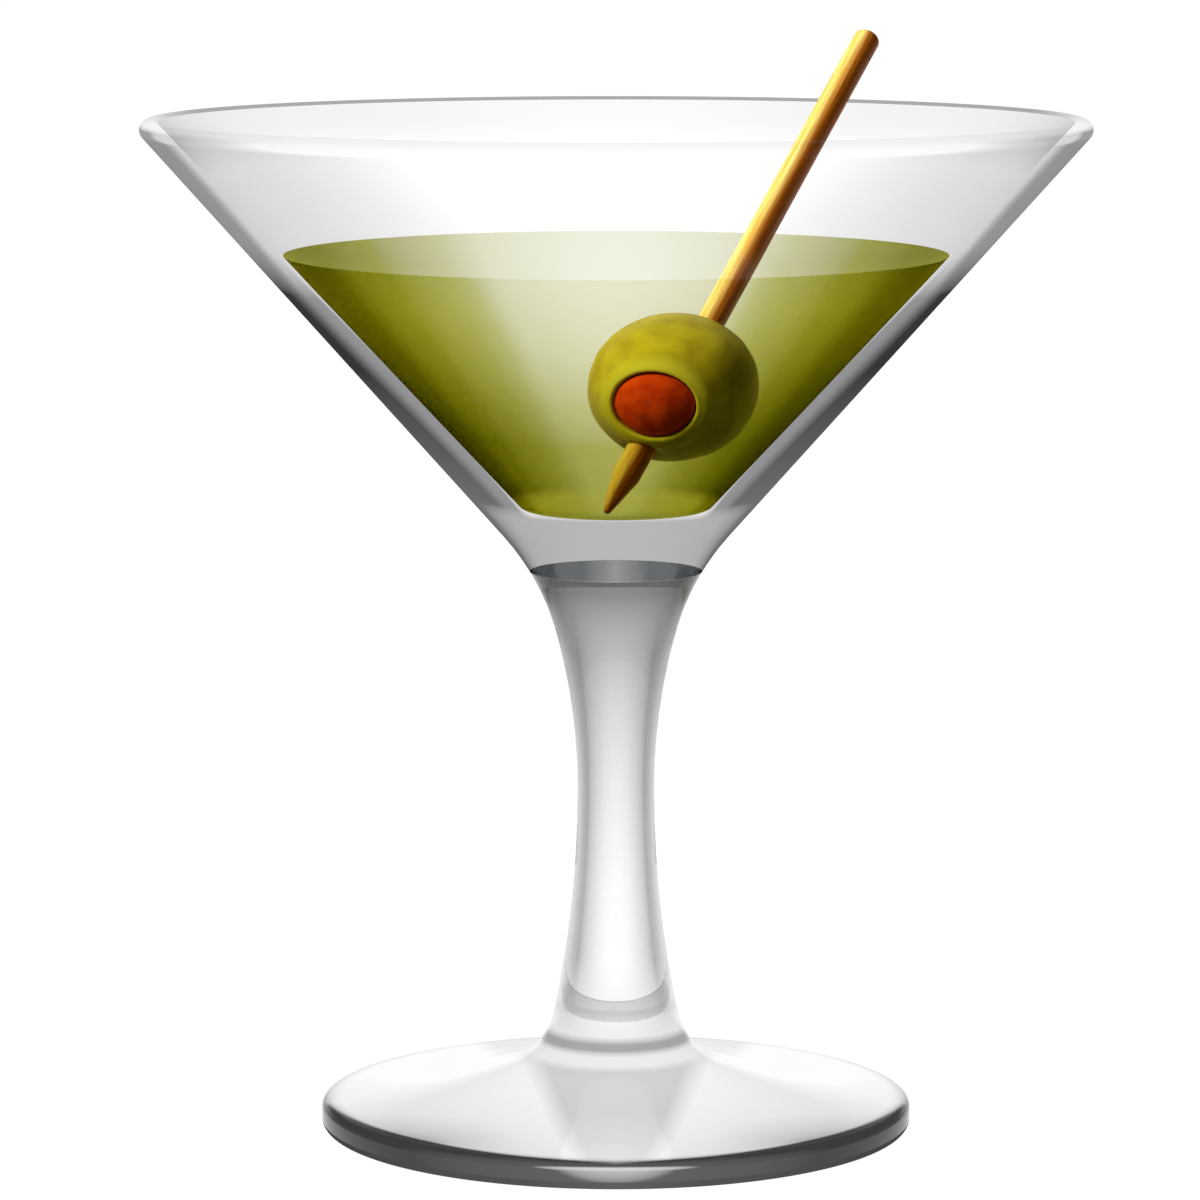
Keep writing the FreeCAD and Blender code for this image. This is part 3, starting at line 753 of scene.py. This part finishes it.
def olive_rings(settings, steps=192, rows=72, lip_rows=7, pit_rows=10):
    """Rings of the flesh: down into the front lip, over the skin to the back lip, and back
    through the pit, with each ring's distance from the nearer lip.  Between the lips the
    ellipse grows as the sine of an angle that runs evenly from the lip to the middle."""
    angle = np.arange(steps) * 2 * math.pi / steps
    round_off = settings.lip_round
    rings, from_lip = [], []

    def half(end, width, height):
        wide = math.asin((width + round_off) / settings.half_width)
        high = math.asin((height + round_off) / settings.half_height)
        t = np.linspace(0, 1, rows)[:, None]
        across = settings.half_width * np.sin(wide + t * (math.pi / 2 - wide))
        tall = settings.half_height * np.sin(high + t * (math.pi / 2 - high))
        skin = olive_point(settings, across, tall, end, angle)
        beta = np.linspace(0, math.pi / 2, lip_rows, endpoint=False)[:, None]
        edge_width = width + round_off * (1 - np.cos(beta))
        edge_height = height + round_off * (1 - np.cos(beta))
        lip = olive_point(settings, edge_width, edge_height, end, angle)
        lip[..., 2] -= end * round_off * (1 - np.sin(beta))
        return lip, skin, across[:, 0] - across[0, 0]

    front_lip, front_skin, front_reach = half(1, settings.front_width, settings.front_height)
    back_lip, back_skin, back_reach = half(-1, settings.back_width, settings.back_height)
    rings += [front_lip, front_skin, back_skin[-2::-1], back_lip[::-1]]
    zero = np.zeros(lip_rows)
    from_lip += [zero, front_reach, back_reach[-2::-1], zero]
    t = np.linspace(0, 1, pit_rows + 2)[1:-1, None, None]
    rings.append(back_lip[:1] * (1 - t) + front_lip[:1] * t)
    from_lip.append(np.zeros(pit_rows))
    return np.concatenate(rings), np.concatenate(from_lip)


def olive_relief(settings, rings, from_lip, middle, axes):
    """Raise the flesh: a swelling round each lip, a pucker where the pick goes through, and
    slight unevenness."""
    normals = ellipsoid_normals(settings, rings)
    swell = settings.lip_height * np.exp(-((from_lip - 0.5 * MM) / (1.0 * MM)) ** 2)
    world = middle + rings @ axes
    tip, along, _ = pick_axis()
    off = world - tip
    off -= np.multiply.outer(off @ along, along)
    from_pick = np.linalg.norm(off, axis=-1)
    pucker = -0.45 * MM * np.exp(-((from_pick - 1.7 * MM) / (0.9 * MM)) ** 2)
    uneven = 0.10 * MM * bumps(world, 1 / (9 * MM), seed=3)
    uneven += 0.035 * MM * bumps(world, 1 / (2.5 * MM), seed=4)
    skin = np.minimum(1.0, from_lip / (0.8 * MM))[:, None]
    raised = swell[:, None] + skin * (pucker + uneven)
    return rings + normals * raised[..., None]


def pimento_rings(settings, steps=128, cap_rows=26, side_rows=24):
    """Rings of the pimento between its poles: the domed front cap, the sides down the pit and
    the back cap.  A cap lies on the olive's ellipsoid and bulges as 1 - r^2, with shallow
    folds across it."""
    angle = np.arange(steps) * 2 * math.pi / steps
    spare = 0.08 * MM

    def cap(end, width, height, dome):
        r = np.linspace(0, 1, cap_rows)[1:, None]
        across, tall = (width - spare) * r, (height - spare) * r
        points = olive_point(settings, across, tall, end, angle)
        folds = 0.16 * MM * bumps(points * np.array([1.0, 0.35, 1.0]), 1 / (3.2 * MM), seed=7)
        bulge = dome * (1 - r ** 2) - 0.3 * MM * r ** 10 - 0.25 * MM
        points[..., 2] += end * (bulge + folds * (1 - r ** 6))
        return points

    front = cap(1, settings.front_width, settings.front_height, settings.dome)
    back = cap(-1, settings.back_width, settings.back_height, settings.dome / 3)
    t = np.linspace(0, 1, side_rows + 2)[1:-1, None, None]
    side = front[-1] * (1 - t) + back[-1] * t
    poles = np.stack([front[0].mean(axis=0), back[0].mean(axis=0)])
    return np.concatenate([front, side, back[::-1]]), poles


def olive_material(settings):
    """Olive skin: blotched yellow-green with pale pores, paler at the cut edge, waxy."""
    material, tree, shader = new_material("olive_skin", Roughness=0.35, IOR=1.12)
    place = object_place(tree)
    blotches, relief = add_mottle(tree, place, 3.5 * MM, 0.9)
    skin = add_mix(tree, blotches, settings.skin_dark, settings.skin_light)
    pores = add_node(tree, "ShaderNodeTexVoronoi", {"Vector": place, "Scale": 1 / (1.1 * MM)})
    pore = add_share(tree, pores.outputs["Distance"], 0.10, 0.22, 0.45, 0.0)
    skin = add_mix(tree, pore, skin, settings.lip)
    near_lip = add_share(tree, attribute_of(tree, "from_lip"), 0.3 * MM, 1.6 * MM, 1.0, 0.0)
    skin = add_mix(tree, near_lip, skin, settings.lip)
    tree.links.new(skin, shader.inputs["Base Color"])
    tree.links.new(add_bump(tree, relief, 0.05 * MM), shader.inputs["Normal"])
    return material


def pimento_material(settings):
    """Pimento: wet red flesh with fine fibres, darker in its folds, partly its own uneven red and
    partly painted shade in the creases.
    """
    material, tree, shader = new_material("pimento", Roughness=0.4, IOR=1.12)
    place = object_place(tree)
    folds, relief = add_mottle(tree, place, 1.6 * MM, 1.2)
    tree.links.new(add_mix(tree, folds, settings.pimento_dark, settings.pimento_light),
                   shader.inputs["Base Color"])
    tree.links.new(add_bump(tree, relief, 0.08 * MM), shader.inputs["Normal"])
    return material


def pick_rings(settings, steps=48):
    """Rings of the pick in its own frame, Z along it from the tip, with its poles: the taper
    of the point, cut in flats, the side and the softened end, each ring a circle whose
    radius wavers a little."""
    _, _, long = pick_axis()
    angle = np.arange(steps) * 2 * math.pi / steps
    taper = np.linspace(0, 1, 14)
    radii = settings.point_radius + (settings.radius - settings.point_radius) * taper ** 0.8
    levels = settings.point_length * taper
    side = np.linspace(settings.point_length, long - settings.end_round, 60)[1:]
    beta = np.linspace(0, math.pi / 2, 7)[1:]
    radii = np.concatenate([[settings.point_radius * 0.6], radii, np.full(59, settings.radius),
                            settings.radius - settings.end_round * (1 - np.cos(beta))])
    levels = np.concatenate([[0.0], levels + 0.08 * MM * (taper == 0), side,
                             long - settings.end_round * (1 - np.sin(beta))])
    flats = 0.10 * np.abs(np.cos(2.5 * angle)) * np.interp(
        levels, [0, 0.6 * settings.point_length, settings.point_length], [1, 1, 0])[:, None]
    rings = np.empty((len(levels), steps, 3))
    rings[..., 0] = radii[:, None] * (1 - flats) * np.cos(angle)
    rings[..., 1] = radii[:, None] * (1 - flats) * np.sin(angle)
    rings[..., 2] = levels[:, None]
    wavers = bumps(rings * np.array([1.0, 1.0, 0.12]), 1 / (2.2 * MM), seed=11)
    rings[..., :2] *= (1 + 0.018 * wavers)[..., None]
    return rings, np.array([[0, 0, 0.0], [0, 0, long]])


def wood_material(settings):
    """Birch pick: fine grain that runs along it, with darker streaks, and painted shade in
    red-brown on the side turned from the sun.
    """
    material, tree, shader = new_material("pick_wood", Roughness=0.42, IOR=1.18)
    place = attribute_of(tree, "along_grain", "Vector")
    stretched = add_node(tree, "ShaderNodeMapping", {"Vector": place,
                                                     "Scale": (1.0, 1.0, 0.05)}).outputs[0]
    streaks, relief = add_mottle(tree, stretched, 0.55 * MM, 1.2)
    wood = add_mix(tree, streaks, settings.wood_dark, settings.wood_light)
    # Painted shade: the pick turns red-brown on its side towards the right and the front, as if
    # that side were turned from the sun.
    right, front = (-0.8, -0.6, 0.0), (-0.6, 0.8, 0.0)
    shade_side = 1.0
    for towards, low, high in ((right, -0.9, 0.1), (front, -1.0, -0.2)):
        across = add_node(tree, "ShaderNodeVectorMath", {0: place, 1: towards},
                          operation="DOT_PRODUCT").outputs["Value"]
        shade_side = add_math(tree, "MULTIPLY", add_share(tree, across, low * MM, high * MM), shade_side)
    tree.links.new(add_mix(tree, shade_side, wood, settings.wood_shade_side), shader.inputs["Base Color"])
    tree.links.new(add_bump(tree, relief, 0.05 * MM), shader.inputs["Normal"])
    return material


class COCKTAIL_OT_glass(bpy.types.Operator):
    """Build the bowl and the stem with its foot."""
    bl_idname = "cocktail.glass"
    bl_label = "Glass"

    def execute(self, context):
        settings = context.scene.cocktail_glass
        stem, bowl = glass_parts(settings)
        for name, (outline, normals, *slots), materials in (
                ("stem_and_foot", stem, stem_material()), ("bowl", bowl, bowl_material())):
            piece = turned(name, outline, normals, materials, settings.steps, *slots)
            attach(piece, "root")
            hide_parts("glass")
        return {"FINISHED"}


class COCKTAIL_OT_drink(bpy.types.Operator):
    """Fill the bowl up to the drink's level."""
    bl_idname = "cocktail.drink"
    bl_label = "Drink"

    def execute(self, context):
        settings = context.scene.cocktail_drink
        outline, normals, slots = drink_outline(settings)
        piece = turned("drink", outline, normals, drink_materials(settings), settings.steps,
                       slots)
        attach(piece, "root")
        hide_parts("drink")
        return {"FINISHED"}


class COCKTAIL_OT_olive(bpy.types.Operator):
    """Build the olive and the pimento in it."""
    bl_idname = "cocktail.olive"
    bl_label = "Olive"

    def execute(self, context):
        settings = context.scene.cocktail_olive
        middle, axes = olive_frame(settings)
        rings, from_lip = olive_rings(settings)
        rings = middle + olive_relief(settings, rings, from_lip, middle, axes) @ axes
        faces = ring_faces(*rings.shape[:2], closed=True).tolist()
        olive = new_piece("olive", rings.reshape(-1, 3), faces, [olive_material(settings)])
        add_values(olive, "from_lip", np.repeat(from_lip, rings.shape[1]))
        rings, poles = pimento_rings(settings)
        pimento = closed_rings("pimento", middle + rings @ axes, middle + poles @ axes,
                               [pimento_material(settings)])
        for piece, node, slot in ((olive, "olive", "olive_skin"), (pimento, "pimento", "pimento")):
            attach(piece, "root")
            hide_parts(node)
        return {"FINISHED"}


class COCKTAIL_OT_pick(bpy.types.Operator):
    """Build the wooden pick."""
    bl_idname = "cocktail.pick"
    bl_label = "Pick"

    def execute(self, context):
        settings = context.scene.cocktail_pick
        tip, along, _ = pick_axis()
        side = np.cross([0.0, 0.0, 1.0], along)
        side /= np.linalg.norm(side)
        axes = np.stack([side, np.cross(along, side), along])
        rings, poles = pick_rings(settings)
        piece = closed_rings("pick", tip + rings @ axes, tip + poles @ axes,
                             [wood_material(settings)])
        add_values(piece, "along_grain", np.concatenate([rings.reshape(-1, 3), poles]))
        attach(piece, "root")
        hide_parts("pick")
        return {"FINISHED"}


class COCKTAIL_OT_stage(bpy.types.Operator):
    """Lay the floor and set the light, the surroundings and the camera."""
    bl_idname = "cocktail.stage"
    bl_label = "Stage"

    def execute(self, context):
        settings = context.scene.cocktail_stage
        lay_floor(settings)
        set_surroundings(settings)
        set_camera(settings)
        return {"FINISHED"}


def add_by_ray(tree, seen, matt, glossy):
    """A strength that differs for what is seen, also through glass, for the light that falls
    on matt things, and for what shines in glossy ones."""
    path = add_node(tree, "ShaderNodeLightPath")
    softer = add_math(tree, "MULTIPLY", path.outputs["Is Diffuse Ray"], matt - seen)
    mirrored = add_math(tree, "GREATER_THAN", path.outputs["Is Glossy Ray"],
                        path.outputs["Is Transmission Ray"])
    duller = add_math(tree, "MULTIPLY", mirrored, add_math(tree, "SUBTRACT", glossy, seen))
    return add_math(tree, "ADD", add_math(tree, "ADD", softer, duller), seen)


def lay_floor(settings):
    """Pale floor just under the foot, lit evenly so that shadows on it stay faint."""
    half, drop = 20.0, 0.15 * MM
    corners = np.array([[-half, -half, -drop], [half, -half, -drop], [half, half, -drop],
                        [-half, half, -drop]])
    material, tree, shader = new_material("floor_paint", Roughness=0.9, Specular_IOR_Level=0.0,
                                          Emission_Color=(1.0, 1.0, 1.0, 1.0))
    tone = add_mottle(tree, object_place(tree), 0.4, 0.2)[0]
    paler = tuple(channel * 1.03 for channel in settings.floor)
    tree.links.new(add_mix(tree, tone, settings.floor, paler), shader.inputs["Base Color"])
    glow = add_by_ray(tree, seen=1.0, matt=0.01, glossy=0.95)
    tree.links.new(glow, shader.inputs["Emission Strength"])
    floor = new_piece("floor", corners, [[0, 1, 2, 3]], [material])


def set_surroundings(settings):
    """White surroundings, dimmer as a light on matt things and dimmest in reflections, and a
    soft sun from the upper left."""
    scene = bpy.context.scene
    world = bpy.data.worlds.new("surroundings")
    world.use_nodes = True
    tree = world.node_tree
    background = tree.nodes["Background"]
    background.inputs["Color"].default_value = (1.0, 1.0, 1.0, 1.0)
    direction = add_node(tree, "ShaderNodeTexCoord").outputs["Generated"]
    low = add_ramp(tree, part_of(tree, direction, "Z"), [(0.16, 0.95), (0.30, 0.10)])
    behind = add_ramp(tree, part_of(tree, direction, "Y"), [(0.80, 0.2), (0.95, 1.0)])
    walls = add_math(tree, "MULTIPLY", low, behind)
    light_given = add_by_ray(tree, seen=1.0, matt=0.05, glossy=walls)
    tree.links.new(light_given, background.inputs["Strength"])
    scene.world = world
    light = bpy.data.lights.new("sun", "SUN")
    light.energy = 4.8
    light.angle = math.radians(22)
    lamp = bpy.data.objects.new("sun", light)
    lamp.rotation_euler = Vector((0.70, 0.32, -0.64)).to_track_quat("-Z", "Y").to_euler()
    lamp.visible_glossy = False
    lamp.visible_transmission = False
    scene.collection.objects.link(lamp)
    scene.view_settings.view_transform = "Standard"


def set_camera(settings):
    """Camera in front of the glass, a little above it."""
    data = bpy.data.cameras.new("camera")
    data.lens = settings.lens
    data.sensor_width = 36.0
    data.clip_start = 0.01
    data.clip_end = 100.0
    camera = bpy.data.objects.new("camera", data)
    camera.location = (-settings.aside, -settings.distance, settings.camera_height)
    camera.rotation_euler = (math.pi / 2 - settings.look_down, 0.0, 0.0)
    bpy.context.scene.collection.objects.link(camera)
    bpy.context.scene.camera = camera


OPERATORS = (COCKTAIL_OT_glass, COCKTAIL_OT_drink, COCKTAIL_OT_olive, COCKTAIL_OT_pick,
             COCKTAIL_OT_stage)


class COCKTAIL_PT_panel(bpy.types.Panel):
    """Builders and settings of the cocktail."""
    bl_idname = "COCKTAIL_PT_panel"
    bl_label = "Cocktail"
    bl_space_type = "VIEW_3D"
    bl_region_type = "UI"
    bl_category = "Cocktail"

    def draw(self, context):
        for operator, group in zip(OPERATORS, SETTINGS):
            box = self.layout.box()
            box.operator(operator.bl_idname)
            settings = getattr(context.scene, group)
            for name in settings.__annotations__:
                box.prop(settings, name)


def register():
    for group in SETTINGS.values():
        bpy.utils.register_class(group)
    for name, group in SETTINGS.items():
        setattr(bpy.types.Scene, name, bpy.props.PointerProperty(type=group))
    for operator in OPERATORS:
        bpy.utils.register_class(operator)
    bpy.utils.register_class(COCKTAIL_PT_panel)


def unregister():
    bpy.utils.unregister_class(COCKTAIL_PT_panel)
    for operator in reversed(OPERATORS):
        bpy.utils.unregister_class(operator)
    for name, group in reversed(SETTINGS.items()):
        delattr(bpy.types.Scene, name)
        bpy.utils.unregister_class(group)


def main():
    """Build every piece and the stage."""
    register()
    bpy.ops.cocktail.glass()
    bpy.ops.cocktail.drink()
    bpy.ops.cocktail.olive()
    bpy.ops.cocktail.pick()
    bpy.ops.cocktail.stage()


if __name__ == "__main__":
    main()
